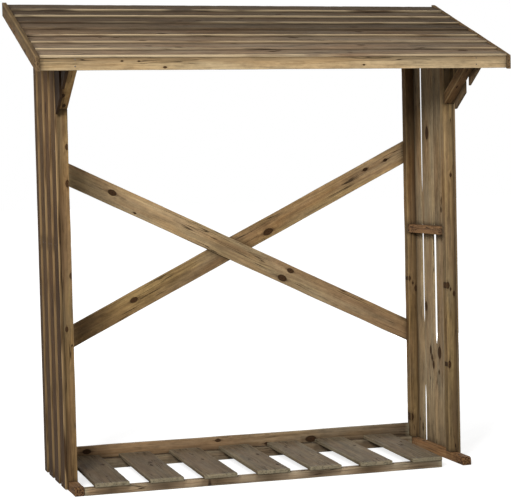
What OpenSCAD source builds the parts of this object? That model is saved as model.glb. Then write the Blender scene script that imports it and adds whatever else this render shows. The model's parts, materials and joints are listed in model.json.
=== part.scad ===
// Garden log store: an open timber frame with slatted sides, a crossed back,
// a slatted floor and a lapped lean-to roof that is low at the front.
// Millimetres. +X is right seen from the front, -Y is the front, +Z is up.
// The origin is on the ground, at the middle of the footprint of the whole store.

/* [Overall] */
// clear width between the two side frames
bay_w = 1476; // [900:2:2400]
// depth of a side frame over its front and back posts
frame_depth = 430; // [300:5:700]
// height of the lowest roof board's under edge at the front
eave_h = 1560; // [1200:5:2000]
// slope of the roof in degrees
roof_pitch = 19.7; // [10:0.1:30]

/* [Frame timber] */
// width and depth of the four square posts
post = 38; // [30:1:75]
// height of the ground skids
skid_h = 33; // [25:1:75]
// how far each skid runs out ahead of its front post
skid_reach = 125; // [60:5:250]
// radius of the skid's rounded front corner
skid_round = 14; // [4:1:24]
// height of the mid rails and of the rafters
rail_h = 34; // [25:1:75]
// height of the mid rail's under face above the ground
mid_rail_z = 882.5; // [500:2.5:1200]
// height of the back top rail below the roof boards
top_rail_h = 62; // [40:1:90]
// depth of the back top rail, front to back
top_rail_t = 34; // [20:1:60]

/* [Side boards] */
// thickness of the upright side boards
side_t = 10; // [8:0.5:20]
// width of the left side's first board, at the front
left_first_w = 85; // [40:1:100]
// width of the left side's last board, at the back
left_last_w = 55; // [40:1:100]
// gap between the left side's boards
left_gap = 40; // [5:1:55]
// width of the right side's first board, at the front
right_first_w = 72; // [40:1:100]
// width of the right side's last board, at the back
right_last_w = 88; // [40:1:100]
// gap between the right side's boards
right_gap = 22; // [5:1:55]
// clearance between the side boards and the ground
side_lift = 5; // [0:1:30]

/* [Brow] */
// gap between the front side board and the first brow board
brow_gap = 20; // [10:1:60]
// gap between the two brow boards
brow_split = 40; // [10:1:60]
// clearance between the foremost brow board and the fascia
brow_clear = 5; // [1:1:20]
// depth of the brow boards' lowest point below the eave
brow_drop = 187; // [120:1:300]
// slope of the struts and of the brow boards' cut edge, in degrees
strut_slope = 32.4; // [20:0.1:60]
// depth of a strut's foot below the eave
strut_drop = 166; // [120:1:300]
// depth of a strut, square to its length
strut_h = 38; // [25:1:60]
// length of the level cut under a strut's foot
strut_toe = 6; // [2:1:20]

/* [Roof] */
// how far the fascia's face stands ahead of the front posts
roof_reach = 267; // [150:1:400]
// how far the lowest board noses past the fascia
roof_nose = 3; // [0:0.5:15]
// how far the roof boards run past the back posts
roof_tail = 7; // [0:1:60]
// how far a barge board's outer face stands beyond the side boards
roof_side = 111; // [30:1:200]
// number of lapped roof boards
roof_boards = 8; // [4:1:12]
// width of a roof board
roof_board_w = 107; // [80:1:160]
// thickness of a roof board
roof_board_t = 9; // [6:0.5:20]
// clearance between one roof board and the next in their lap
lap_gap = 0.2; // [0.1:0.1:1]
// thickness of the fascia and of the barge boards
barge_t = 17; // [12:0.5:30]
// upright height of a barge board's plumb front end
barge_h = 53; // [40:1:90]
// how far a barge board's top edge stands above the roof's lap line
barge_stand = 5; // [0:0.5:20]
// depth of the fascia's foot below the eave
fascia_h = 43; // [30:1:80]
// clearance between the fascia's bevelled top and the lowest roof board
fascia_gap = 0.5; // [0.2:0.1:3]

/* [Floor] */
// height of the front floor rail
front_rail_h = 28; // [20:1:60]
// width of the front floor rail, front to back
front_rail_w = 38; // [25:1:80]
// height of the back floor rail, which tips the slats a little forward
back_rail_h = 38; // [20:1:60]
// width of the back floor rail, front to back
back_rail_w = 45; // [25:1:80]
// number of floor slats
slats = 7; // [3:1:14]
// width of a floor slat
slat_w = 127; // [60:1:200]
// thickness of a floor slat
slat_t = 14; // [10:0.5:30]
// distance from the left skid to the first slat
slat_start = 38; // [10:1:120]
// distance from the last slat to the right skid
slat_end = 85; // [10:1:160]
// how far the slats run out past the front floor rail
slat_nose = 2; // [0:0.5:15]

/* [Back] */
// thickness of the kick board
kick_t = 18; // [10:1:30]
// height of the kick board
kick_h = 52; // [30:1:150]
// width of a back brace
brace_w = 82; // [50:1:120]
// thickness of a back brace
brace_t = 12; // [8:0.5:25]
// height of the falling brace's middle line at the left post
fall_left_z = 1190; // [700:1:1500]
// height of the falling brace's middle line at the right post
fall_right_z = 479; // [200:1:900]
// height of the rising brace's middle line at the left post
rise_left_z = 485; // [200:1:900]
// height of the rising brace's middle line at the right post
rise_right_z = 1211; // [700:1:1500]

/* [Hidden] */
$fn = 48;
weathered = [0.42, 0.35, 0.27];
sawn = [0.50, 0.42, 0.31];
pale = [0.72, 0.62, 0.46];
ruddy = [0.45, 0.30, 0.21];
grey = [0.42, 0.38, 0.31];

// half widths, measured from the middle of the store
bay = bay_w / 2;
frame_x = bay + post;
roof_x = frame_x + side_t + roof_side;
roof_board_x = roof_x - barge_t;

// the front face of the front posts, set so that the footprint's middle is the origin
back_reach = frame_depth + max(brace_t, roof_tail);
y_post = (roof_reach + roof_nose - back_reach) / 2;
y_back = y_post + frame_depth;
y_fascia = y_post - roof_reach;
y_eave = y_fascia - roof_nose;
y_tail = y_back + roof_tail;

// The roof: the boards' lower arrises lie on the lap line, and the rafters' top faces on a
// line below it. A board lies flat over the one below when exposure * sin(tilt) is its
// thickness and the lap's clearance. The top board ends at y_tail, and both depend on
// each other, so the exposure is settled by repetition.
rise = tan(roof_pitch);
function tilt_for(e) = asin((roof_board_t + lap_gap) / e);
function next_exposure(e) =
    (y_tail - y_eave - roof_board_w * cos(roof_pitch - tilt_for(e)))
    / (roof_boards - 1) / cos(roof_pitch);
function settle(e, times) = times == 0 ? e : settle(next_exposure(e), times - 1);
settle_times = 12;
exposure = settle(roof_board_w, settle_times);
lap_tilt = tilt_for(exposure);
rafter_drop = roof_board_w * sin(lap_tilt) / cos(roof_pitch);
function lap_z(y) = eave_h + (y - y_eave) * rise;
function rafter_top(y) = lap_z(y) - rafter_drop;
function rafter_under(y) = rafter_top(y) - rail_h / cos(roof_pitch);

// the brow boards share the room between the front side boards and the fascia
brow_tip_y = y_post - brow_gap;
brow_tip_z = eave_h - brow_drop;
brow_w = (roof_reach - barge_t - brow_gap - brow_split - brow_clear) / 2;

// the struts, measured forwards from the front posts' front face
strut_foot_z = eave_h - strut_drop;
strut_rise = tan(strut_slope);
strut_up = strut_h / cos(strut_slope);
strut_low_end = (rafter_under(y_post) - strut_foot_z + strut_toe * strut_rise) / (strut_rise + rise);
strut_top_end = strut_low_end - strut_up / (strut_rise + rise);

side_boards = 4;

// the slats lie on the front upper edges of the two floor rails
y_front_rail = y_post - skid_reach;
y_back_rail = y_back - back_rail_w;
slat_pitch = (bay_w - slat_start - slat_end - slat_w) / (slats - 1);
slat_rise = (back_rail_h - front_rail_h) / (y_back_rail - y_front_rail);
function slat_under(y) = front_rail_h + (y - y_front_rail) * slat_rise;

// A profile drawn in (Y, Z), made `len` long in X from x = `x0`.
module along_x(x0, len) {
    translate([x0, 0, 0])
        rotate([90, 0, 90])
            linear_extrude(len)
                children();
}

// A profile drawn in (X, Z), made `len` deep in Y from y = `y0`.
module along_y(y0, len) {
    translate([0, y0 + len, 0])
        rotate([90, 0, 0])
            linear_extrude(len)
                children();
}

// The right-hand piece as drawn, or its mirror image for the left.
module on_side(side) {
    if (side > 0) children();
    else mirror([1, 0, 0]) children();
}

// An upright stick from y0 to y1 whose top is cut to the rafters' under face.
module post_shape(y0) {
    along_x(bay, post)
        polygon([
            [y0, skid_h],
            [y0 + post, skid_h],
            [y0 + post, rafter_under(y0 + post)],
            [y0, rafter_under(y0)]
        ]);
}

module skid(side) {
    color(ruddy) on_side(side) along_x(bay, post) hull() {
        translate([y_post, 0]) square([frame_depth, skid_h]);
        translate([y_post - skid_reach, 0]) square([skid_round, skid_round]);
        translate([y_post - skid_reach + skid_round, skid_h - skid_round]) circle(skid_round);
    }
}

module front_post(side) {
    color(sawn) on_side(side) post_shape(y_post);
}

module back_post(side) {
    color(sawn) on_side(side) post_shape(y_back - post);
}

module mid_rail(side) {
    color(ruddy) on_side(side)
        translate([bay, y_post + post, mid_rail_z])
            cube([post, frame_depth - 2 * post, rail_h]);
}

module rafter(side) {
    y0 = y_fascia + barge_t;
    color(weathered) on_side(side) along_x(bay, post)
        polygon([
            [y0, rafter_under(y0)],
            [y_back, rafter_under(y_back)],
            [y_back, rafter_top(y_back)],
            [y0, rafter_top(y0)]
        ]);
}

module strut(side) {
    low = strut_low_end;
    top = strut_top_end;
    color(sawn) on_side(side) along_x(bay, post)
        polygon([
            [y_post, strut_foot_z],
            [y_post - strut_toe, strut_foot_z],
            [y_post - low, rafter_under(y_post - low)],
            [y_post - top, rafter_under(y_post - top)],
            [y_post, strut_foot_z - strut_toe * strut_rise + strut_up]
        ]);
}

// Upright side board number n, counted from the front. The first and the last are
// first_w and last_w wide, and the middle ones share the room that the gaps leave.
module side_board(side, n, first_w, last_w, gap) {
    middle_w = (frame_depth - first_w - last_w - (side_boards - 1) * gap) / (side_boards - 2);
    start = n == 1 ? 0 : first_w + gap + (n - 2) * (middle_w + gap);
    width = n == 1 ? first_w : n == side_boards ? last_w : middle_w;
    y0 = y_post + start;
    y1 = y0 + width;
    color(weathered) on_side(side) along_x(frame_x, side_t)
        polygon([[y0, side_lift], [y1, side_lift], [y1, rafter_top(y1)], [y0, rafter_top(y0)]]);
}

// The two short boards ahead of the front post, their lower ends cut on one slant.
module brow_boards(side) {
    color(weathered) on_side(side) along_x(frame_x, side_t)
        for (k = [0, 1]) {
            y1 = brow_tip_y - k * (brow_w + brow_split);
            y0 = y1 - brow_w;
            polygon([
                [y1, brow_tip_z + (brow_tip_y - y1) * strut_rise],
                [y0, brow_tip_z + (brow_tip_y - y0) * strut_rise],
                [y0, rafter_top(y0)],
                [y1, rafter_top(y1)]
            ]);
        }
}

// Roof board number n, counted up from the eave; each rests on the one below.
module roof_board(n) {
    up = (n - 1) * exposure;
    y = y_eave + up * cos(roof_pitch);
    color(weathered) along_x(-roof_board_x, 2 * roof_board_x)
        translate([y, lap_z(y)])
            rotate(roof_pitch - lap_tilt)
                square([roof_board_w, roof_board_t]);
}

// The fascia's top is bevelled to the slope of the lowest roof board.
module fascia() {
    bevel = tan(roof_pitch - lap_tilt);
    y1 = y_fascia + barge_t;
    top = eave_h - fascia_gap;
    color(pale) along_x(-roof_board_x, 2 * roof_board_x)
        polygon([
            [y_fascia, eave_h - fascia_h],
            [y1, eave_h - fascia_h],
            [y1, top + (y1 - y_eave) * bevel],
            [y_fascia, top + (y_fascia - y_eave) * bevel]
        ]);
}

module barge(side) {
    lift = barge_stand / cos(roof_pitch);
    color(sawn) on_side(side) along_x(roof_board_x, barge_t)
        polygon([
            [y_eave, lap_z(y_eave) + lift - barge_h],
            [y_tail, lap_z(y_tail) + lift - barge_h],
            [y_tail, lap_z(y_tail) + lift],
            [y_eave, lap_z(y_eave) + lift]
        ]);
}

module back_top_rail() {
    y0 = y_back - top_rail_t;
    z0 = rafter_top(y_back) - top_rail_h;
    color(weathered) along_x(-bay, bay_w)
        polygon([[y0, z0], [y_back, z0], [y_back, rafter_top(y_back)], [y0, rafter_top(y0)]]);
}

// The front rail ends with the last slat, short of the right skid.
module front_floor_rail() {
    color(grey) translate([-bay, y_front_rail, 0]) cube([bay_w - slat_end, front_rail_w, front_rail_h]);
}

module back_floor_rail() {
    color(grey) translate([-bay, y_back_rail, 0]) cube([bay_w, back_rail_w, back_rail_h]);
}

// Floor slat number n, counted from the left, from its nose to the kick board.
module floor_slat(n) {
    y0 = y_front_rail - slat_nose;
    y1 = y_back - kick_t;
    up = slat_t / cos(atan(slat_rise));
    color(grey) along_x(-bay + slat_start + (n - 1) * slat_pitch, slat_w)
        polygon([
            [y0, slat_under(y0)],
            [y1, slat_under(y1)],
            [y1, slat_under(y1) + up],
            [y0, slat_under(y0) + up]
        ]);
}

module kick_board() {
    color(grey) translate([-bay, y_back - kick_t, back_rail_h]) cube([bay_w, kick_t, kick_h]);
}

// A flat brace whose middle line is at z_left and z_right on the posts' inner faces.
module brace(z_left, z_right, reach, y0) {
    slope = (z_right - z_left) / bay_w;
    half = brace_w / 2 / cos(atan(slope));
    left = z_left - (reach - bay) * slope;
    right = z_right + (reach - bay) * slope;
    color(sawn) along_y(y0, brace_t)
        polygon([[-reach, left - half], [reach, right - half], [reach, right + half], [-reach, left + half]]);
}

module back_brace_falling() {
    brace(fall_left_z, fall_right_z, bay, y_back - brace_t);
}

module back_brace_rising() {
    brace(rise_left_z, rise_right_z, frame_x, y_back);
}

skid(-1);  // left_skid
skid(1);  // right_skid
front_post(-1);  // left_front_post
front_post(1);  // right_front_post
back_post(-1);  // left_back_post
back_post(1);  // right_back_post
mid_rail(-1);  // left_mid_rail
mid_rail(1);  // right_mid_rail
rafter(-1);  // left_rafter
rafter(1);  // right_rafter
back_top_rail();
side_board(-1, 1, left_first_w, left_last_w, left_gap);  // left_side_board_1
side_board(-1, 2, left_first_w, left_last_w, left_gap);  // left_side_board_2
side_board(-1, 3, left_first_w, left_last_w, left_gap);  // left_side_board_3
side_board(-1, 4, left_first_w, left_last_w, left_gap);  // left_side_board_4
side_board(1, 1, right_first_w, right_last_w, right_gap);  // right_side_board_1
side_board(1, 2, right_first_w, right_last_w, right_gap);  // right_side_board_2
side_board(1, 3, right_first_w, right_last_w, right_gap);  // right_side_board_3
side_board(1, 4, right_first_w, right_last_w, right_gap);  // right_side_board_4
brow_boards(-1);  // left_brow_boards
brow_boards(1);  // right_brow_boards
strut(-1);  // left_strut
strut(1);  // right_strut
roof_board(1);  // roof_board_1
roof_board(2);  // roof_board_2
roof_board(3);  // roof_board_3
roof_board(4);  // roof_board_4
roof_board(5);  // roof_board_5
roof_board(6);  // roof_board_6
roof_board(7);  // roof_board_7
roof_board(8);  // roof_board_8
fascia();
barge(-1);  // left_barge_board
barge(1);  // right_barge_board
front_floor_rail();
back_floor_rail();
floor_slat(1);  // floor_slat_1
floor_slat(2);  // floor_slat_2
floor_slat(3);  // floor_slat_3
floor_slat(4);  // floor_slat_4
floor_slat(5);  // floor_slat_5
floor_slat(6);  // floor_slat_6
floor_slat(7);  // floor_slat_7
kick_board();
back_brace_falling();
back_brace_rising();
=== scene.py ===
"""The looks of a garden log store: each post, rail and board is its own worn softwood stick.

Metres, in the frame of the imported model: +X is right, -Y is the open front, +Z is up.
"""
import json
import math
import zlib

import bmesh
import bpy
import numpy as np
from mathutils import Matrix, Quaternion, Vector
from mathutils.bvhtree import BVHTree


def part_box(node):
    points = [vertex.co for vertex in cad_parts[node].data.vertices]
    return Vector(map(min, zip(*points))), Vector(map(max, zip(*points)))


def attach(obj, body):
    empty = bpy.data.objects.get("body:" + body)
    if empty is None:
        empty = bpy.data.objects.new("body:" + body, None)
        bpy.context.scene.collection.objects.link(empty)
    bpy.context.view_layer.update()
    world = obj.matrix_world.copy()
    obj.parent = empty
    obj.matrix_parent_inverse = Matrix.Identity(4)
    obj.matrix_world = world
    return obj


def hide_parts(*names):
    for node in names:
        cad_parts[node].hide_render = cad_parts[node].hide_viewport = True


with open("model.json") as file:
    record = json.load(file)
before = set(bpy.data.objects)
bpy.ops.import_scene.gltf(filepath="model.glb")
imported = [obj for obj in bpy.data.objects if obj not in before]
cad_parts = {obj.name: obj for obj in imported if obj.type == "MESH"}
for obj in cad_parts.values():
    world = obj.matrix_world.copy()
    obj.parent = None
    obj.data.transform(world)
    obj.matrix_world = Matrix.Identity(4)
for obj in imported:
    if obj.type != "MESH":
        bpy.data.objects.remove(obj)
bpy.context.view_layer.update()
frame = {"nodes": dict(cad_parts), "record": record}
MM = 0.001


# --- Camera -----------------------------------------------------------------------------

AIM = Vector((-0.012, 0.0, 0.847))
DISTANCE = 6.409
AZIMUTH = math.radians(-17.0)
ELEVATION = math.radians(3.02)
ROLL = math.radians(-1.32)
LENS_MM = 118.4
SENSOR_MM = 36.0


def make_camera():
    """The camera stands ahead and to the left, a little above the middle, tipped slightly."""
    data = bpy.data.cameras.new("camera")
    data.lens = LENS_MM
    data.sensor_width = SENSOR_MM
    level = Vector((math.sin(AZIMUTH), -math.cos(AZIMUTH), 0)) * math.cos(ELEVATION)
    eye = AIM + DISTANCE * (level + Vector((0, 0, math.sin(ELEVATION))))
    camera = bpy.data.objects.new("camera", data)
    camera.rotation_mode = "QUATERNION"
    camera.rotation_quaternion = (AIM - eye).to_track_quat("-Z", "Y") @ Quaternion((0, 0, 1), ROLL)
    camera.location = eye
    bpy.context.scene.collection.objects.link(camera)
    bpy.context.scene.camera = camera


# --- Materials --------------------------------------------------------------------------

# A stick has up to five knots. Where there is none, it counts as this far away.
KNOT_PLACES = 5
NO_KNOT = 9.0
# How much the distances along, across and through the stick count in how near a knot is: it is
# drawn out by the fibres and runs right through.
ROUND_KNOT = (0.6, 1.0, 0.0)
DRAWN_EYE = (0.32, 1.0, 0.0)
# The width of a growth ring, how many rings a knot pushes aside and how fast that fades, and by
# how many rings they are uneven.
RING_MM = 6.5
RINGS_PUSHED = 2.2
PUSH_FADES = -0.3
RINGS_UNEVEN = 2.4
# How far the fibres wander, and how far from the sawn ends cracks and crust reach.
WANDER = 16 * MM
END_REACH = 0.13
# The pale edges, worn wood and also a painted highlight, reach less far in over a wide face than
# over a narrow one, by this share.
NARROW_FACE = 2.2
RESIN = "#38220F"
CRACK_SHADE = "#22160C"
# Dirt near the ground and painted shade in the joints share this dark colour.
GRIME_AND_PAINTED_SHADE = "#2A1D12"
CRUST_SHADE = "#2C180D"


def linear(code):
    """An sRGB hex colour as a linear colour with alpha."""
    parts = [int(code[i:i + 2], 16) / 255 for i in (1, 3, 5)]
    bent = [p / 12.92 if p <= 0.04045 else ((p + 0.055) / 1.055) ** 2.4 for p in parts]
    return (*bent, 1.0)


def add(tree, kind, links=None, stops=None, **settings):
    """Adds a node. links gives each input a value, or another node or socket to read."""
    node = tree.nodes.new(kind)
    for name, value in settings.items():
        setattr(node, name, value)
    for name, value in (links or {}).items():
        if isinstance(value, bpy.types.Node):
            value = value.outputs[0]
        if isinstance(value, bpy.types.NodeSocket):
            tree.links.new(value, node.inputs[name])
        else:
            node.inputs[name].default_value = value
    if stops:
        ramp = node.color_ramp
        while len(ramp.elements) < len(stops):
            ramp.elements.new(0.5)
        for element, (place, tone) in zip(ramp.elements, stops):
            element.position = place
            element.color = linear(tone) if isinstance(tone, str) else (tone, tone, tone, 1)
    return node


def bare_material(name):
    """A material without nodes, and its tree to add them to."""
    material = bpy.data.materials.new(name)
    material.use_nodes = True
    material.node_tree.nodes.clear()
    return material, material.node_tree


def fibre_noise(tree, along_mm, across_mm, **links):
    """A noise stretched along the fibres, different for each stick."""
    place = add(tree, "ShaderNodeAttribute", attribute_name="grain").outputs["Vector"]
    seed = add(tree, "ShaderNodeAttribute", attribute_name="seed").outputs["Fac"]
    scale = (1 / (along_mm * MM), 1 / (across_mm * MM), 1 / (across_mm * MM))
    stretched = add(tree, "ShaderNodeVectorMath", {0: place, 1: scale}, operation="MULTIPLY")
    return add(tree, "ShaderNodeTexNoise", {"Vector": stretched, "W": seed, "Scale": 1.0, **links},
               noise_dimensions="4D")


def fibre_patches(tree, along_mm, across_mm, low, high, **links):
    """Patches drawn out by the fibres: none where the noise is at low, full where it is at high."""
    noise = fibre_noise(tree, along_mm, across_mm, **links)
    return add(tree, "ShaderNodeMapRange", {0: noise, 1: low, 2: high})


def coated(tree, colour, coats):
    """The colour under its coats. Each coat covers as far as the product of its shares says."""
    for coat, share, *more_shares in coats:
        for more in more_shares:
            share = add(tree, "ShaderNodeMath", {0: share, 1: more}, operation="MULTIPLY")
        coat = linear(coat) if isinstance(coat, str) else coat
        colour = add(tree, "ShaderNodeMixRGB", {"Fac": share, "Color1": colour, "Color2": coat})
    return colour


def weighed(tree, start, terms):
    """The start plus each pattern times its weight."""
    for pattern, weight in terms:
        start = add(tree, "ShaderNodeMath", {0: pattern, 1: weight, 2: start},
                    operation="MULTIPLY_ADD")
    return start


def wandering_fibres(tree, place):
    """The place on a stick, moved so that the fibres wander a little over half a metre."""
    wander = fibre_noise(tree, 500, 80, Detail=2.0).outputs["Color"]
    wander = add(tree, "ShaderNodeVectorMath", {0: wander, 1: (0.5, 0.5, 0.5)},
                 operation="SUBTRACT")
    wander = add(tree, "ShaderNodeVectorMath", {0: wander, 1: (0.0, WANDER, WANDER)},
                 operation="MULTIPLY")
    return add(tree, "ShaderNodeVectorMath", {0: place, 1: wander}, operation="ADD")


def nearest_knot(tree, bent):
    """The nearest knot, in knot radii: once as a round, once as an eye drawn out by the fibres."""
    nearest = NO_KNOT
    nearest_eye = NO_KNOT
    for number in range(1, KNOT_PLACES + 1):
        spot = add(tree, "ShaderNodeAttribute", attribute_name=f"knot_{number}").outputs["Vector"]
        radius = add(tree, "ShaderNodeSeparateXYZ", {0: spot}).outputs["Z"]
        offset = add(tree, "ShaderNodeVectorMath", {0: bent, 1: spot}, operation="SUBTRACT")
        flat = add(tree, "ShaderNodeVectorMath", {0: offset, 1: ROUND_KNOT}, operation="MULTIPLY")
        far = add(tree, "ShaderNodeVectorMath", {0: flat}, operation="LENGTH").outputs["Value"]
        far = add(tree, "ShaderNodeMath", {0: far, 1: radius}, operation="DIVIDE")
        nearest = add(tree, "ShaderNodeMath", {0: nearest, 1: far}, operation="MINIMUM")
        reach = add(tree, "ShaderNodeVectorMath", {0: offset}, operation="ABSOLUTE")
        eye = add(tree, "ShaderNodeVectorMath", {0: reach, 1: DRAWN_EYE},
                  operation="DOT_PRODUCT").outputs["Value"]
        eye = add(tree, "ShaderNodeMath", {0: eye, 1: radius}, operation="DIVIDE")
        nearest_eye = add(tree, "ShaderNodeMath", {0: nearest_eye, 1: eye}, operation="MINIMUM")
    return nearest, nearest_eye


def late_wood(tree, place, bent, nearest):
    """The dark part of each growth ring. The rings lie round the pith and swell round the knots."""
    pith = add(tree, "ShaderNodeAttribute", attribute_name="pith").outputs["Vector"]
    pith_across, pith_depth, pith_lean = add(tree, "ShaderNodeSeparateXYZ", {0: pith}).outputs
    along = add(tree, "ShaderNodeSeparateXYZ", {0: place}).outputs["X"]
    lean = add(tree, "ShaderNodeMath", {0: pith_lean, 1: along, 2: pith_across},
               operation="MULTIPLY_ADD")
    heart = add(tree, "ShaderNodeCombineXYZ", {"Y": lean, "Z": pith_depth})
    spoke = add(tree, "ShaderNodeVectorMath", {0: bent, 1: heart}, operation="SUBTRACT")
    spoke = add(tree, "ShaderNodeVectorMath", {0: spoke, 1: (0.0, 1.0, 1.0)}, operation="MULTIPLY")
    spoke = add(tree, "ShaderNodeVectorMath", {0: spoke}, operation="LENGTH").outputs["Value"]
    fade = add(tree, "ShaderNodeMath", {0: nearest, 1: nearest}, operation="MULTIPLY")
    fade = add(tree, "ShaderNodeMath", {0: fade, 1: PUSH_FADES}, operation="MULTIPLY")
    swell = add(tree, "ShaderNodeMath", {0: fade}, operation="EXPONENT")
    uneven = fibre_noise(tree, 900, 30, Detail=1.0)
    count = weighed(tree, 0.0, [(spoke, 1 / (RING_MM * MM)), (swell, RINGS_PUSHED),
                                (uneven, RINGS_UNEVEN)])
    phase = add(tree, "ShaderNodeMath", {0: count}, operation="FRACT")
    return add(tree, "ShaderNodeValToRGB", {"Fac": phase},
               stops=[(0.0, 0.3), (0.12, 0.0), (0.5, 0.15), (0.82, 0.9), (0.94, 1.0), (1.0, 0.35)])


def drying_cracks(tree, near_end):
    """Thin lines with the fibres, most of them near the sawn ends."""
    split = add(tree, "ShaderNodeMath", {0: fibre_noise(tree, 420, 17, Detail=2.0), 1: 0.5},
                operation="SUBTRACT")
    split = add(tree, "ShaderNodeMath", {0: split}, operation="ABSOLUTE")
    split = add(tree, "ShaderNodeMapRange", {0: split, 1: 0.014, 2: 0.005})
    places = fibre_patches(tree, 200, 60, 0.5, 0.62, Detail=1.0)
    places = add(tree, "ShaderNodeMath", {0: places, 1: 0.85}, operation="MULTIPLY")
    places = add(tree, "ShaderNodeMath", {0: places, 1: near_end}, operation="MAXIMUM")
    return add(tree, "ShaderNodeMath", {0: split, 1: places}, operation="MULTIPLY")


def arrises(tree, place, pale_edge_mm):
    """1 at the arrises of a stick, fading to 0 by pale_edge_mm in from them."""
    half = add(tree, "ShaderNodeAttribute", attribute_name="half").outputs["Vector"]
    size = add(tree, "ShaderNodeVectorMath", {0: place}, operation="ABSOLUTE")
    inset = add(tree, "ShaderNodeVectorMath", {0: half, 1: size}, operation="SUBTRACT")
    inset = add(tree, "ShaderNodeSeparateXYZ", {0: inset})
    across = add(tree, "ShaderNodeMath", {0: inset.outputs["Y"], 1: NARROW_FACE},
                 operation="MULTIPLY")
    inset = add(tree, "ShaderNodeMath", {0: across, 1: inset.outputs["Z"]}, operation="MAXIMUM")
    return add(tree, "ShaderNodeMapRange", {0: inset, 1: pale_edge_mm * MM, 2: 0.3 * pale_edge_mm * MM})


def softwood(name, body, line, grey, ruddy, sap, rubbed_and_highlit, edging=0.5, greying=0.5, crust=0.0,
             bleached_and_highlit_ends=0.0, pale_edge_mm=8.0):
    """Softwood off the saw, pressure treated and left out in the weather.

    Growth rings are shells round a pith line that leans through the stick, so a board shows
    arches on its face, stripes on its edge and curved rings on its end. Knots push them aside.
    The treatment leaves the sapwood yellower, and rain leaves grey and brown stains. Arrises
    are paled over pale_edge_mm as far as edging says, as worn wood and also as a painted highlight
    on lit edges, and open end grain as far as bleached_and_highlit_ends says, as bleached wood and
    also as a painted highlight on the lit noses of the slats. Dirt near the ground and painted
    shade in the joints and along the laps of the roof darken the wood. A crust is the dark speckle
    of wet ground near a skid's ends.
    """
    material, tree = bare_material(name)
    place = add(tree, "ShaderNodeAttribute", attribute_name="grain").outputs["Vector"]
    look_and_painted_shade = add(tree, "ShaderNodeAttribute", attribute_name="look_and_painted_shade").outputs["Vector"]
    end_gap = add(tree, "ShaderNodeAttribute", attribute_name="ends").outputs["Fac"]
    grime_and_painted_shade = add(tree, "ShaderNodeAttribute", attribute_name="grime_and_painted_shade").outputs["Fac"]
    rubbing_and_highlight = add(tree, "ShaderNodeAttribute", attribute_name="rubbing_and_highlight").outputs["Fac"]
    tone, redness, greyness = add(tree, "ShaderNodeSeparateXYZ", {0: look_and_painted_shade}).outputs
    near_end = add(tree, "ShaderNodeMapRange", {0: end_gap, 1: END_REACH, 2: 0.0})

    bent = wandering_fibres(tree, place)
    nearest, nearest_eye = nearest_knot(tree, bent)
    late = late_wood(tree, place, bent, nearest)

    # Streaks and fibres, bands of sapwood, patches of stain and a small mottle, each with its
    # length along the fibres and its width across them in mm. Fibres are drawn 4.5 mm wide, far
    # coarser than real ones, so that they show from a distance.
    streaks = fibre_patches(tree, 240, 10, 0.42, 0.64, Detail=3.0, Roughness=0.6)
    fibres = fibre_noise(tree, 90, 4.5, Detail=2.0)
    bands = fibre_patches(tree, 1100, 24, 0.45, 0.58, Detail=1.0)
    patches = fibre_patches(tree, 330, 70, 0.42, 0.6, Detail=3.0)
    blush = fibre_patches(tree, 420, 45, 0.42, 0.62, Detail=2.0)
    cloud = fibre_noise(tree, 150, 34, Detail=3.0)
    mottle = fibre_noise(tree, 26, 12, Detail=4.0, Roughness=0.65)

    colour = coated(tree, linear(body), [
        (line, late, 0.5),
        (sap, bands, 0.6),
        (line, streaks, 0.65),
        (grey, patches, greying),
        (grey, greyness),
        (ruddy, blush, 0.35),
        (ruddy, redness),
    ])
    light = weighed(tree, -0.45, [(mottle, 1.0), (fibres, 0.9), (cloud, 1.0)])
    light = add(tree, "ShaderNodeMath", {0: light, 1: tone}, operation="MULTIPLY")
    colour = add(tree, "ShaderNodeHueSaturation", {"Value": light, "Color": colour})

    # Knots: a resin-dark eye drawn out along the fibres, then the round heart with its rim.
    eye = add(tree, "ShaderNodeMapRange", {0: nearest_eye, 1: 1.35, 2: 0.6, 3: 0.0, 4: 0.65})
    core = add(tree, "ShaderNodeMapRange", {0: nearest, 1: 1.1, 2: 0.9, 3: 0.0, 4: 0.92})
    heart = add(tree, "ShaderNodeValToRGB", {"Fac": nearest}, stops=[
        (0.0, "#1E1109"), (0.3, "#3F2A18"), (0.7, "#38230F"), (0.95, "#1B0F07")])
    crack = drying_cracks(tree, near_end)

    # Dirt near the ground, and painted shade in the joints and along the laps of the roof, broken
    # up by the mottle.
    broken_grime_and_shade = add(tree, "ShaderNodeMapRange", {0: mottle, 1: 0.35, 2: 0.65, 3: 0.6, 4: 1.0})

    # The pale arrises, worn wood and also a painted highlight on lit edges, are broken up along the
    # stick, and the dirt and painted shade hide them.
    arris = arrises(tree, place, pale_edge_mm)
    worn = fibre_patches(tree, 210, 15, 0.34, 0.5, Detail=2.0)
    clean_and_unshaded = add(tree, "ShaderNodeMath", {0: 1.0, 1: grime_and_painted_shade}, operation="SUBTRACT")

    coats = [
        (RESIN, eye),
        (heart, core),
        (CRACK_SHADE, crack),
        (GRIME_AND_PAINTED_SHADE, broken_grime_and_shade, grime_and_painted_shade),
        (rubbed_and_highlit, arris, worn, clean_and_unshaded, rubbing_and_highlight, edging),
    ]
    # Pale end grain: bleached wood, and also a painted highlight on the lit noses of the slats.
    if bleached_and_highlit_ends:
        end_grain = add(tree, "ShaderNodeMapRange", {0: end_gap, 1: 0.02, 2: 0.004})
        broken = add(tree, "ShaderNodeMapRange", {0: mottle, 1: 0.25, 2: 0.5})
        coats.append((rubbed_and_highlit, end_grain, broken, bleached_and_highlit_ends))
    if crust:
        speckle = fibre_patches(tree, 9, 6, 0.46, 0.6, Detail=2.0)
        coats.append((CRUST_SHADE, speckle, near_end, crust))
    colour = coated(tree, colour, coats)

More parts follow.
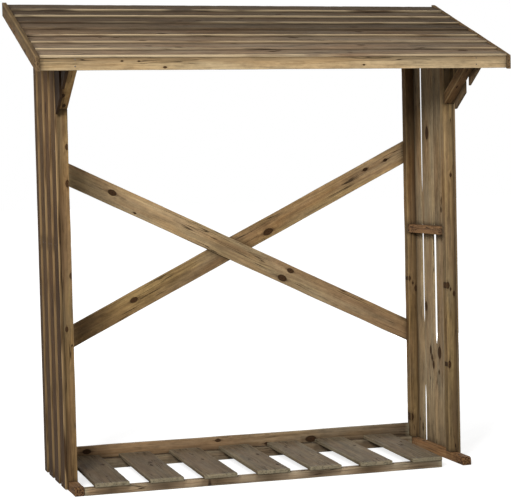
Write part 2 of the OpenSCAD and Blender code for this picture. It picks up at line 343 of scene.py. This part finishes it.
    # Relief in millimetres: proud late wood, sawn fibres, knots and cracks.
    relief = weighed(tree, 0.0, [(late, 0.25), (streaks, 0.5), (fibres, 0.8), (core, 0.4),
                                 (crack, -1.5)])
    bump = add(tree, "ShaderNodeBump", {"Height": relief, "Strength": 0.9, "Distance": MM})
    rough = add(tree, "ShaderNodeMapRange", {0: streaks, 1: 0.0, 2: 1.0, 3: 0.95, 4: 0.8})
    # Weathered sawn fibres scatter nearly all the light, so there is hardly any sheen.
    shader = add(tree, "ShaderNodeBsdfPrincipled",
                 {"Base Color": colour, "Roughness": rough, "Normal": bump, "IOR": 1.5,
                  "Specular IOR Level": 0.12})
    add(tree, "ShaderNodeOutputMaterial", {"Surface": shader})
    return material


def galvanised_nail():
    """Hot-dip galvanised steel, hammered and dulled: a dark grey dot with rust on it."""
    material, tree = bare_material("galvanised_steel_hammered")
    # Rust specks of about a millimetre.
    spangle = add(tree, "ShaderNodeTexNoise", {"Scale": 1 / MM, "Detail": 2.0})
    colour = add(tree, "ShaderNodeValToRGB", {"Fac": spangle},
                 stops=[(0.35, "#3B2A20"), (0.5, "#5C5249"), (0.7, "#77716A")])
    shader = add(tree, "ShaderNodeBsdfPrincipled",
                 {"Base Color": colour, "Roughness": 0.55, "Metallic": 0.6})
    add(tree, "ShaderNodeOutputMaterial", {"Surface": shader})
    return material


# The pale edge colour of each wood is worn wood and also a painted highlight on lit edges and on
# the lit noses of the slats; the roof's is the brightest, for the lit lower edges of its boards.
WOODS = {
    "frame_softwood": dict(
        body="#9B8156", line="#5D4629", grey="#887962", ruddy="#835831", sap="#B49865",
        rubbed_and_highlit="#B79A6C", edging=0.3),
    "side_softwood": dict(
        body="#A28C6C", line="#645137", grey="#91856E", ruddy="#8A6641", sap="#B69F78",
        rubbed_and_highlit="#BE9F70", edging=0.85, greying=0.6),
    "roof_softwood": dict(
        body="#87725A", line="#4A3927", grey="#7F715F", ruddy="#78573A", sap="#978062",
        rubbed_and_highlit="#D2BC96", edging=0.9, greying=0.7, pale_edge_mm=5.5),
    "pale_softwood": dict(
        body="#C3AB83", line="#94774D", grey="#AE9978", ruddy="#B08755", sap="#CDB891",
        rubbed_and_highlit="#D2BC94", edging=0.3, greying=0.4),
    "floor_softwood": dict(
        body="#9A876B", line="#60513A", grey="#8D826F", ruddy="#866544", sap="#A79679",
        rubbed_and_highlit="#B2A98C", edging=0.2, greying=0.7, bleached_and_highlit_ends=0.35),
    "ruddy_softwood": dict(
        body="#9B764D", line="#573B24", grey="#8B775C", ruddy="#945E35", sap="#AB865C",
        rubbed_and_highlit="#A07B52", edging=0.3, crust=1.0),
}


# --- Sticks -----------------------------------------------------------------------------

SLOTS = {part["node"]: part["material_slot"] for part in frame["record"]["subparts"]}
# Points nearer than this are one point.
WELD = 0.01 * MM
# How far apart a stick is cut along and across its length, so that it can wear there.
CUT_ALONG = 16 * MM
CUT_ACROSS = 22 * MM
# Faces less than this apart are one flat, edges above ARRIS are eased, and those below SOFT are
# shaded as one curve.
FLAT = math.radians(1)
ARRIS = math.radians(30)
SOFT = math.radians(20)
EASED_STEPS = 2

# Knots that show, as (distance along from the left, front or bottom end, offset across, radius)
# in mm.
KNOTS = {
    "back_brace_falling": [(290, 6, 11), (1070, -21, 12), (1090, 18, 9), (405, -30, 4)],
    "back_brace_rising": [(428, 7, 10), (1042, -16, 13), (1528, 13, 7), (1624, 9, 6)],
    "right_side_board_3": [(1282, -7, 16), (578, 34, 12), (402, -8, 11), (372, -22, 9),
                           (345, -36, 10)],
    "right_side_board_2": [(400, 26, 15), (1010, -20, 8)],
    "right_side_board_1": [(362, 10, 10)],
    "right_front_post": [(655, -15, 8), (640, -3, 4), (622, 12, 6), (345, -14, 8), (1085, 6, 5)],
    "right_back_post": [(660, -14, 6), (640, 0, 4), (618, 14, 7), (85, -16, 9)],
    "left_front_post": [(1090, 12, 8), (560, -8, 6)],
    "left_side_board_2": [(1400, 10, 13), (640, -15, 9)],
    "roof_board_4": [(500, -35, 11), (1290, 8, 9)],
    "roof_board_3": [(407, -42, 8), (1000, 18, 12)],
    "roof_board_2": [(518, -40, 9), (1230, 0, 10)],
    "roof_board_1": [(1614, 20, 12), (860, 10, 9)],
    "roof_board_5": [(1288, -33, 10)],
    "fascia": [(289, 8, 3), (350, 7, 3), (1190, -10, 3), (443, -14, 4)],
    "kick_board": [(116, 3, 10), (650, 12, 7), (856, -16, 7), (1043, -10, 14)],
}

# A stick's tone, redness and greyness, where it isn't like the others of its wood. Several
# sets are at even steps from its left, front or bottom end to its other end. Some tones are
# painted shade and light, as marked below.
LOOKS_AND_PAINTED_SHADE = {
    # The front posts are darker at the foot and at the top: painted shade near the ground and under
    # the roof.
    "left_front_post": [(0.58, 0.3, 0.0), (0.66, 0.15, 0.0), (0.74, 0.05, 0.0), (0.76, 0.05, 0.0),
                        (0.5, 0.2, 0.0)],
    "right_front_post": [(0.6, 0.05, 0.25), (0.74, 0.05, 0.15), (0.78, 0.05, 0.1),
                         (0.97, 0.0, 0.25), (0.72, 0.1, 0.1)],
    # The tops of the back posts are darkened as painted shade under the roof.
    "right_back_post": [(0.82, 0.1, 0.2), (0.8, 0.2, 0.1), (0.75, 0.2, 0.05), (0.52, 0.25, 0.05),
                        (0.3, 1.0, 0.0)],
    "left_back_post": [(0.7, 0.35, 0.0), (0.45, 0.4, 0.0)],
    "left_strut": [(1.5, 0.3, 0.0)],
    "right_strut": [(0.68, 0.4, 0.0)],
    "left_barge_board": [(0.62, 0.2, 0.4)],
    "right_barge_board": [(0.84, 0.2, 0.3)],
    "back_brace_falling": [(1.3, 0.0, 0.5), (1.14, 0.0, 0.35)],
    "back_brace_rising": [(0.68, 0.2, 0.1), (0.8, 0.15, 0.05), (0.9, 0.1, 0.1), (1.15, 0.05, 0.15),
                          (1.7, 0.05, 0.3)],
    "left_side_board_1": [(0.25, 0.9, 0.0), (0.23, 1.0, 0.0), (0.22, 1.0, 0.0), (0.4, 0.8, 0.0),
                          (0.66, 0.6, 0.0)],
    "left_side_board_2": [(0.2, 1.0, 0.0), (0.5, 0.8, 0.0)],
    "left_side_board_3": [(0.21, 0.9, 0.0), (0.46, 0.7, 0.1)],
    "left_side_board_4": [(0.2, 1.0, 0.0), (0.42, 0.8, 0.0)],
    # The brow boards are darkened as painted shade under the roof's overhang.
    "left_brow_boards": [(0.13, 1.0, 0.0)],
    "right_brow_boards": [(0.5, 0.3, 0.0)],
    "right_side_board_1": [(0.8, 0.1, 0.1)],
    # Right side boards 2 to 4 grow darker towards the top: painted shade under the roof.
    "right_side_board_2": [(1.05, 0.05, 0.1), (0.82, 0.1, 0.0)],
    "right_side_board_3": [(1.0, 0.0, 0.1), (1.25, 0.0, 0.15), (1.05, 0.0, 0.1), (0.92, 0.05, 0.05),
                           (0.7, 0.2, 0.0)],
    "right_side_board_4": [(1.12, 0.0, 0.1), (0.88, 0.1, 0.0)],
    "kick_board": [(1.5, 0.6, 0.0), (1.35, 0.6, 0.0), (1.1, 0.6, 0.0), (1.3, 0.25, 0.0),
                   (1.05, 0.2, 0.0), (0.65, 0.3, 0.0)],
    # By turns painted light between the floor slats and painted shadow under their overhanging
    # ends.
    "front_floor_rail": [(1.7, 0.4, 0.1), (0.6, 0.3, 0.1), (1.7, 0.2, 0.3), (0.6, 0.3, 0.1),
                         (1.7, 0.1, 0.5), (0.6, 0.3, 0.1), (1.7, 0.1, 0.6), (0.6, 0.3, 0.1),
                         (1.8, 0.1, 0.7), (0.7, 0.3, 0.1), (1.9, 0.1, 0.8), (0.7, 0.2, 0.1),
                         (1.9, 0.0, 0.8), (0.9, 0.1, 0.3), (1.5, 0.0, 0.5)],
    "back_floor_rail": [(0.9, 0.1, 0.3)],
    "right_mid_rail": [(0.85, 0.0, 0.2)],
    "left_mid_rail": [(1.0, 0.0, 0.3)],
    "left_skid": [(0.8, 0.1, 0.0), (1.0, 0.0, 0.0)],
    "right_skid": [(1.0, 0.1, 0.0), (1.5, 0.0, 0.1)],
    "fascia": [(0.65, 0.05, 0.0), (1.15, 0.0, 0.85)],
    "roof_board_1": [(1.32, 0.0, 0.45)],
    "roof_board_2": [(1.08, 0.0, 0.4), (1.3, 0.0, 0.6), (1.12, 0.0, 0.4)],
    "roof_board_3": [(1.08, 0.1, 0.25), (1.08, 0.0, 0.4), (1.48, 0.0, 0.7)],
    "roof_board_4": [(1.04, 0.1, 0.05), (0.75, 0.05, 0.0), (0.84, 0.0, 0.2)],
    "roof_board_5": [(0.75, 0.05, 0.1), (0.51, 0.0, 0.3), (0.46, 0.0, 0.2)],
    "roof_board_6": [(0.4, 0.1, 0.0), (0.57, 0.0, 0.1), (0.52, 0.0, 0.1)],
    "roof_board_7": [(0.38, 0.1, 0.0), (0.57, 0.05, 0.1), (0.73, 0.0, 0.1)],
    "roof_board_8": [(0.5, 0.0, 0.2)],
    "floor_slat_1": [(0.58, 0.15, 0.1)],
    "floor_slat_2": [(0.67, 0.1, 0.25)],
    "floor_slat_3": [(0.72, 0.15, 0.1)],
    "floor_slat_4": [(0.77, 0.05, 0.2)],
    "floor_slat_5": [(0.85, 0.05, 0.2)],
    "floor_slat_6": [(0.86, 0.0, 0.3)],
    "floor_slat_7": [(0.84, 0.0, 0.3)],
}

# How far a stick's arrises are paled, at even steps along it, where they aren't paled in full. The
# pale is worn wood and also a painted highlight on lit edges, and it is turned down as painted
# shade where neighbouring boards or the roof shade an edge.
RUBBING_AND_HIGHLIGHT = {
    "left_side_board_1": [1.0, 1.0, 0.9, 1.0, 1.0, 0.4],
    "left_side_board_2": [0.5, 0.4, 0.4, 0.5, 0.4, 0.1],
    "left_side_board_3": [0.5, 0.4, 0.4, 0.5, 0.4, 0.1],
    "left_side_board_4": [0.5, 0.4, 0.4, 0.5, 0.4, 0.1],
    "left_brow_boards": [0.1],
    "right_side_board_1": [0.4],
    "right_side_board_2": [0.15],
    "right_side_board_3": [0.15],
    "right_side_board_4": [0.15],
    "roof_board_2": [1.0, 0.9, 0.1, 0.2, 0.9],
    "roof_board_3": [1.0, 0.6, 0.9, 0.5, 0.9],
    "roof_board_5": [0.1, 0.05, 0.1],
    "roof_board_6": [0.1, 0.3, 0.9, 0.9],
}

# Waney edges, as (side, points of distance along and how far the edge draws back, in mm). Below
# 0 the edge stands out.
WANES = {
    "right_side_board_2": [
        (1, [(0, -1), (420, -1), (480, 8), (700, 7), (880, 8), (916, -1), (1500, -1)]),
    ],
    "right_side_board_3": [
        (-1, [(0, -1), (420, -1), (480, 8), (700, 7), (880, 8), (916, -1), (1500, -1)]),
        (1, [(0, 4), (200, 6), (275, -1), (500, -1), (540, 4), (880, 5), (925, -1), (1000, -1),
             (1130, 3), (1500, 5)]),
    ],
    "right_side_board_4": [
        (-1, [(0, 3), (200, 2), (280, -1), (490, -1), (560, 3), (880, 3), (920, -1), (1000, -1),
              (1130, 3), (1500, 4)]),
    ],
    "floor_slat_7": [(-1, [(0, 6), (540, 8)])],
}

# How far the edges and faces of each wood wander, how deep its arrises are chipped and how far
# they are eased, in mm.
WEAR = {
    "frame_softwood": (1.2, 0.4, 1.4, 1.6),
    "side_softwood": (0.3, 0.4, 0.3, 0.5),
    "roof_softwood": (1.6, 0.3, 1.0, 0.8),
    "pale_softwood": (0.6, 0.3, 1.0, 1.2),
    "floor_softwood": (1.2, 0.8, 1.4, 1.8),
    "ruddy_softwood": (2.0, 1.0, 3.0, 2.0),
}
# How long the waves of each kind of wear are along a stick, and the powers that keep the wear
# near its edge. A chip has one across the face and one through the depth.
EDGE_WAVE = 0.11
FACE_WAVE = 0.16
CHIP_WAVE = 0.025
LIFT_WAVE = 0.14
EDGE_POWER = 4
WANE_POWER = 2
CHIP_POWERS = (12, 8)
LIFT_POWER = 3
# How far the lower edge of a roof board lifts off the board below it.
ROOF_LIFT_MM = 0.9

# How far painted shade spreads out of a joint and out of a lap of the roof, and dirt up from the
# ground, and how dark each is there.
JOINT_PAINTED_SHADE = 9 * MM
ROOF_LAP_PAINTED_SHADE = 4 * MM
GROUND_GRIME = 45 * MM
JOINT_DARK = 0.9
GROUND_DARK = 0.5

# Random knots: how many are on a long and a short stick, how near to its end they begin, how far
# across it they lie as a share of its width, and their radii.
LONG_STICK = 1.2
KNOTS_LONG = 4
KNOTS_SHORT = 2
KNOT_START = 0.05
KNOT_SPREAD = 0.42
KNOT_RADII = (0.004, 0.008)

# The pith line of a stick: how far across it as a share of half its width, how deep outside or
# inside it in mm, and how far it leans for each metre along.
PITH_SPREAD = 0.5
PITH_DEPTHS_MM = (25, 70)
PITH_LEAN = 0.02

# The limits of the tone, redness and greyness of a stick that has no look of its own, and of the
# number that makes its patterns different from the other sticks'.
PLAIN_LOOK = [(0.92, 1.08), (0, 0.15), (0, 0.2)]
SEEDS = (0, 100)


def positive(direction):
    """The direction, turned so that its largest part is positive."""
    return direction if max(direction, key=abs) > 0 else -direction


def stick_axes(bm):
    """Unit directions along a stick, across its widest face, and through its depth."""
    longest = max(bm.edges, key=lambda edge: edge.calc_length())
    along = positive((longest.verts[1].co - longest.verts[0].co).normalized())
    widest = max(bm.faces, key=lambda face: face.calc_area())
    depth = positive(widest.normal.copy())
    return along, positive(depth.cross(along)), depth


def cut(bm, direction, step):
    """Cuts the stick square to a direction every step, so that it can wear there."""
    places = [vert.co.dot(direction) for vert in bm.verts]
    low, high = min(places), max(places)
    count = max(1, round((high - low) / step))
    for number in range(1, count):
        whole = bm.verts[:] + bm.edges[:] + bm.faces[:]
        place = low + (high - low) * number / count
        bmesh.ops.bisect_plane(bm, geom=whole, dist=WELD, plane_co=direction * place,
                               plane_no=direction)


def between(along, places, values):
    """A smooth curve through the values at the given places."""
    places, values = np.asarray(places, float), np.asarray(values, float)
    index = np.clip(np.searchsorted(places, along) - 1, 0, len(places) - 2)
    share = np.clip((along - places[index]) / (places[index + 1] - places[index]), 0, 1)
    return values[index] + (values[index + 1] - values[index]) * share * share * (3 - 2 * share)


def spread(share, values):
    """Values at even steps from one end of a stick to the other, read at each point's share."""
    return np.interp(share, np.linspace(0, 1, len(values)), values)


def ripple(rng, along, spacing, amount):
    """A smooth random curve from 0 to amount, with a new value every spacing."""
    length = along.max()
    count = max(2, round(length / spacing))
    return between(along, np.linspace(0, length, count + 1), rng.random(count + 1) * amount)


def wear(local, half, rng, node):
    """Moves a stick's points inwards: waney edges, uneven faces and chipped arrises."""
    edge_mm, face_mm, chip_mm, _ = WEAR[SLOTS[node]]
    along, across, depth = local.T
    for side in (-1, 1):
        rim = np.clip(side * across / half[0], 0, 1) ** EDGE_POWER
        face = np.clip(side * depth / half[1], 0, 1) ** EDGE_POWER
        across = across - side * rim * ripple(rng, along, EDGE_WAVE, edge_mm * MM)
        depth = depth - side * face * ripple(rng, along, FACE_WAVE, face_mm * MM)
    for side, points in WANES.get(node, []):
        places, depths = np.array(points).T * MM
        rim = np.clip(side * across / half[0], 0, 1) ** WANE_POWER
        across = across - side * rim * between(along, places, depths)
    for side in (-1, 1):
        for front in (-1, 1):
            corner = np.clip(side * across / half[0], 0, 1) ** CHIP_POWERS[0]
            corner = corner * np.clip(front * depth / half[1], 0, 1) ** CHIP_POWERS[1]
            chip = np.clip(ripple(rng, along, CHIP_WAVE, 2 * chip_mm * MM) - chip_mm * MM, 0, None)
            across = across - side * corner * chip
            depth = depth - front * corner * chip
    if node.startswith("roof_board"):
        lip = np.clip(-across / half[0], 0, 1) ** LIFT_POWER * np.clip(-depth / half[1], 0, 1)
        depth = depth + lip * ripple(rng, along, LIFT_WAVE, ROOF_LIFT_MM * MM)
    return np.stack([along, across, depth], 1)


def shapes():
    """Each CAD node's surface as a search tree, with its box."""
    found = {}
    for name, node in frame["nodes"].items():
        points = [vert.co for vert in node.data.vertices]
        faces = [tuple(face.vertices) for face in node.data.polygons]
        low, high = (Vector(corner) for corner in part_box(name))
        found[name] = (BVHTree.FromPolygons(points, faces), low, high)
    return found


def joint_painted_shade(node, points):
    """How near each point lies to another stick, for the painted shade of joints and laps: 1 in the
    joint, and less away from it.
    """
    spread_out = ROOF_LAP_PAINTED_SHADE if node.startswith("roof_board") else JOINT_PAINTED_SHADE
    reach = 3 * spread_out
    margin = Vector((reach, reach, reach))
    nearest = np.full(len(points), reach)
    _, low, high = SHAPES[node]
    for other, (tree, other_low, other_high) in SHAPES.items():
        start, end = other_low - margin, other_high + margin
        if other == node or any(low[i] > end[i] or high[i] < start[i] for i in range(3)):
            continue
        for index in np.nonzero(np.all((points > start) & (points < end), axis=1))[0]:
            distance = tree.find_nearest(Vector(points[index]), reach)[3]
            if distance is not None:
                nearest[index] = min(nearest[index], distance)
    return np.exp(-nearest / spread_out) - math.exp(-reach / spread_out)


def vector_attribute(mesh, name, values):
    """Stores one vector at each point of the mesh, for the material to read."""
    held = mesh.attributes.new(name, "FLOAT_VECTOR", "POINT")
    held.data.foreach_set("vector", np.asarray(values, np.float32).ravel())


def float_attribute(mesh, name, values):
    """Stores one number at each point of the mesh, for the material to read."""
    held = mesh.attributes.new(name, "FLOAT", "POINT")
    held.data.foreach_set("value", np.asarray(values, np.float32))


def chosen_knots(node, rng, length, width):
    """The stick's knots in metres: those that show on this store, and others at random."""
    knots = [(a * MM, c * MM, r * MM) for a, c, r in KNOTS.get(node, [])]
    wanted = KNOTS_LONG if length > LONG_STICK else KNOTS_SHORT
    while len(knots) < wanted:
        knots.append((rng.uniform(KNOT_START, length),
                      rng.uniform(-KNOT_SPREAD, KNOT_SPREAD) * width,
                      rng.uniform(*KNOT_RADII)))
    far = (-NO_KNOT, NO_KNOT, MM)
    return (knots + [far] * KNOT_PLACES)[:KNOT_PLACES]


def sawn_shape(node):
    """The CAD node's shape with eased arrises, cut fine enough to wear."""
    bm = bmesh.new()
    bm.from_mesh(frame["nodes"][node].data)
    bmesh.ops.remove_doubles(bm, verts=bm.verts[:], dist=WELD)
    bmesh.ops.dissolve_limit(bm, angle_limit=FLAT, verts=bm.verts[:], edges=bm.edges[:])
    axes = stick_axes(bm)
    sharp = [edge for edge in bm.edges if edge.calc_face_angle(0) > ARRIS]
    eased = WEAR[SLOTS[node]][-1] * MM
    bmesh.ops.bevel(bm, geom=sharp, offset=eased, segments=EASED_STEPS, profile=0.5, affect="EDGES",
                    clamp_overlap=True)
    cut(bm, axes[0], CUT_ALONG)
    cut(bm, axes[1], CUT_ACROSS)
    for face in bm.faces:
        face.smooth = True
    for edge in bm.edges:
        edge.smooth = edge.calc_face_angle(0) < SOFT
    mesh = bpy.data.meshes.new(node + "_wood")
    bm.to_mesh(mesh)
    bm.free()
    return mesh, axes


def stick(node, material):
    """One worn softwood stick in the place of a CAD node."""
    rng = np.random.default_rng(zlib.crc32(node.encode()))
    mesh, axes = sawn_shape(node)
    turn = np.array([list(axis) for axis in axes])
    points = np.array([vert.co for vert in mesh.vertices])
    local = points @ turn.T
    low, high = local.min(0), local.max(0)
    start = np.array([low[0], (low[1] + high[1]) / 2, (low[2] + high[2]) / 2])
    local = local - start
    half = (high - low)[1:] / 2
    length = high[0] - low[0]

    pith = (rng.uniform(-PITH_SPREAD, PITH_SPREAD) * half[0],
            rng.choice([-1, 1]) * rng.uniform(*PITH_DEPTHS_MM) * MM,
            rng.uniform(-PITH_LEAN, PITH_LEAN))
    plain = [rng.uniform(*limits) for limits in PLAIN_LOOK]
    looks_and_painted_shade = np.array(LOOKS_AND_PAINTED_SHADE.get(node, [plain]))
    share = local[:, 0] / length
    vector_attribute(mesh, "grain", local)
    vector_attribute(mesh, "half", np.tile((0, *half), (len(local), 1)))
    vector_attribute(mesh, "pith", np.tile(pith, (len(local), 1)))
    vector_attribute(mesh, "look_and_painted_shade", np.stack([spread(share, column) for column in looks_and_painted_shade.T], 1))
    float_attribute(mesh, "rubbing_and_highlight", spread(share, RUBBING_AND_HIGHLIGHT.get(node, [1.0])))
    for number, knot in enumerate(chosen_knots(node, rng, length, 2 * half[0]), 1):
        vector_attribute(mesh, f"knot_{number}", np.tile(knot, (len(local), 1)))
    float_attribute(mesh, "seed", np.full(len(local), rng.uniform(*SEEDS)))
    float_attribute(mesh, "ends", np.minimum(local[:, 0], length - local[:, 0]))
    # Dirt up from the ground, and painted shade in the joints and along the laps of the roof.
    damp = GROUND_DARK * np.exp(-points[:, 2] / GROUND_GRIME)
    float_attribute(mesh, "grime_and_painted_shade", np.maximum(damp, JOINT_DARK * joint_painted_shade(node, points)))

    worn = wear(local, half, rng, node) + start
    mesh.vertices.foreach_set("co", (worn @ turn).astype(np.float32).ravel())
    mesh.materials.append(material)
    mesh.update()
    piece = bpy.data.objects.new(node + "_wood", mesh)
    bpy.context.scene.collection.objects.link(piece)
    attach(piece, "root")
    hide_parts(node)
    return piece


# --- Nails ------------------------------------------------------------------------------

HEAD_RADIUS = 3.2 * MM
HEAD_SIDES = 12
# A head's rings, as (share of its radius, depth below the wood's face in mm).
HEAD_RINGS = [(0.92, 1.5), (1.0, 0.5), (0.85, 0.15), (0.45, 0.0)]
# Where the two nails of a joint are, as shares of its width.
NAIL_SHARES = (0.24, 0.76)
RAFTERS = ["left_rafter", "right_rafter"]
FLOOR_RAILS = ["front_floor_rail", "back_floor_rail"]


def nailed():
    """The nailed joints, as (board, what carries it, the way the nail's head looks)."""
    up = Vector((0, 0, 1))
    joints = [(f"roof_board_{n}", rafter, up) for n in range(1, 9) for rafter in RAFTERS]
    joints += [(f"floor_slat_{n}", rail, up) for n in range(1, 8) for rail in FLOOR_RAILS]
    joints += [("fascia", rafter, Vector((0, -1, 0))) for rafter in RAFTERS]
    for side, out in (("left", Vector((-1, 0, 0))), ("right", Vector((1, 0, 0)))):
        for n in range(1, 5):
            board = f"{side}_side_board_{n}"
            joints += [(board, f"{side}_skid", out), (board, f"{side}_mid_rail", out)]
        joints += [(f"{side}_side_board_1", f"{side}_front_post", out),
                   (f"{side}_side_board_4", f"{side}_back_post", out)]
    return joints


def nail_spots(board, carrier, out):
    """Two spots on the board's face, over the middle of the piece that carries it."""
    _, low, high = SHAPES[board]
    _, carrier_low, carrier_high = SHAPES[carrier]
    start = Vector(max(a, b) for a, b in zip(low, carrier_low))
    end = Vector(min(a, b) for a, b in zip(high, carrier_high))
    over_face = [axis for axis in range(3) if not out[axis]]
    wide = max(over_face, key=lambda axis: end[axis] - start[axis])
    for share in NAIL_SHARES:
        spot = (start + end) / 2
        spot[wide] = start[wide] + (end[wide] - start[wide]) * share
        yield spot


def nail_head(bm, place, out):
    """A low dome let into the wood, its top level with the board's sawn face."""
    turn = out.to_track_quat("Z", "Y")
    rings = []
    for share, depth in HEAD_RINGS:
        radius = HEAD_RADIUS * share
        ring = []
        for step in range(HEAD_SIDES):
            angle = math.tau * step / HEAD_SIDES
            spot = Vector((radius * math.cos(angle), radius * math.sin(angle), -depth * MM))
            ring.append(bm.verts.new(place + turn @ spot))
        rings.append(ring)
    for outer, inner in zip(rings, rings[1:]):
        for step in range(HEAD_SIDES):
            after = (step + 1) % HEAD_SIDES
            bm.faces.new((outer[step], outer[after], inner[after], inner[step])).smooth = True
    bm.faces.new(rings[-1]).smooth = True
    bm.faces.new(rings[0][::-1])


def make_nails(material):
    """Every nail head, as one mesh."""
    bm = bmesh.new()
    for board, carrier, out in nailed():
        for spot in nail_spots(board, carrier, out):
            place, normal, _, _ = SHAPES[board][0].ray_cast(spot + out, -out)
            if place is not None:
                nail_head(bm, place, normal)
    mesh = bpy.data.meshes.new("nail_heads")
    bm.to_mesh(mesh)
    bm.free()
    mesh.materials.append(material)
    nails = bpy.data.objects.new("nail_heads", mesh)
    bpy.context.scene.collection.objects.link(nails)
    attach(nails, "root")


# --- Stage ------------------------------------------------------------------------------

FLOOR_HALF = 40
FLOOR_COLOUR = "#C4C4C4"
# The floor's glow, and the distances from the store between which it grows to 1.
FLOOR_GLOW = 0.78
GLOW_NEAR = 1.2
GLOW_FAR = 5.0
STORE_MIDDLE = Vector((0, 0, 0.85))
# Each lamp's place, the side of its square and its power. The weak one is for the back.
LAMPS = {
    "key": (Vector((-2.9, -4.4, 3.1)), 1.6, 330),
    "fill": (Vector((2.4, 4.4, 1.3)), 2.4, 90),
}
# How strongly the white sky lights the store.
SKY = 0.22


def seen_directly(tree):
    """1 for what is seen, straight, in a gloss or through glass, and 0 for what gives light."""
    path = add(tree, "ShaderNodeLightPath").outputs
    seen = path["Is Camera Ray"]
    for ray in ("Is Glossy Ray", "Is Transmission Ray"):
        seen = add(tree, "ShaderNodeMath", {0: seen, 1: path[ray]}, operation="MAXIMUM")
    return seen


def make_floor():
    """A pale floor that stays white to the camera and keeps the store's shadow.

    The lamps' light thins out away from the store, so the floor's own glow grows there.
    """
    bm = bmesh.new()
    bmesh.ops.create_grid(bm, x_segments=2, y_segments=2, size=FLOOR_HALF)
    mesh = bpy.data.meshes.new("floor")
    bm.to_mesh(mesh)
    bm.free()
    floor = bpy.data.objects.new("floor", mesh)
    bpy.context.scene.collection.objects.link(floor)
    material, tree = bare_material("pale_matt_paint")
    place = add(tree, "ShaderNodeNewGeometry").outputs["Position"]
    distance = add(tree, "ShaderNodeVectorMath", {0: place}, operation="LENGTH").outputs["Value"]
    glow = add(tree, "ShaderNodeMapRange",
               {0: distance, 1: GLOW_NEAR, 2: GLOW_FAR, 3: FLOOR_GLOW, 4: 1.0})
    strength = add(tree, "ShaderNodeMath", {0: seen_directly(tree), 1: glow}, operation="MULTIPLY")
    matt = add(tree, "ShaderNodeBsdfDiffuse", {"Color": linear(FLOOR_COLOUR)})
    white = add(tree, "ShaderNodeEmission", {"Strength": strength})
    both = add(tree, "ShaderNodeAddShader", {0: matt, 1: white})
    add(tree, "ShaderNodeOutputMaterial", {"Surface": both})
    mesh.materials.append(material)


def make_light():
    """A large soft lamp high on the left front, a weak one behind, and a sky that looks white."""
    for name, (place, size, power) in LAMPS.items():
        data = bpy.data.lights.new(name, "AREA")
        data.size = size
        data.energy = power
        lamp = bpy.data.objects.new(name, data)
        lamp.location = place
        lamp.rotation_mode = "QUATERNION"
        lamp.rotation_quaternion = (STORE_MIDDLE - place).to_track_quat("-Z", "Y")
        bpy.context.scene.collection.objects.link(lamp)

    world = bpy.data.worlds.new("studio")
    world.use_nodes = True
    tree = world.node_tree
    tree.nodes.clear()
    strength = add(tree, "ShaderNodeMapRange", {0: seen_directly(tree), 3: SKY, 4: 1.0})
    sky = add(tree, "ShaderNodeBackground", {"Color": (1.0, 1.0, 1.0, 1.0), "Strength": strength})
    add(tree, "ShaderNodeOutputWorld", {"Surface": sky})
    bpy.context.scene.world = world


# --- The store --------------------------------------------------------------------------

bpy.context.scene.view_settings.view_transform = "Standard"
make_camera()
SHAPES = shapes()
materials = {slot: softwood("sawn_" + slot, **wood) for slot, wood in WOODS.items()}
for name in sorted(frame["nodes"]):
    stick(name, materials[SLOTS[name]])
make_nails(galvanised_nail())
make_floor()
make_light()
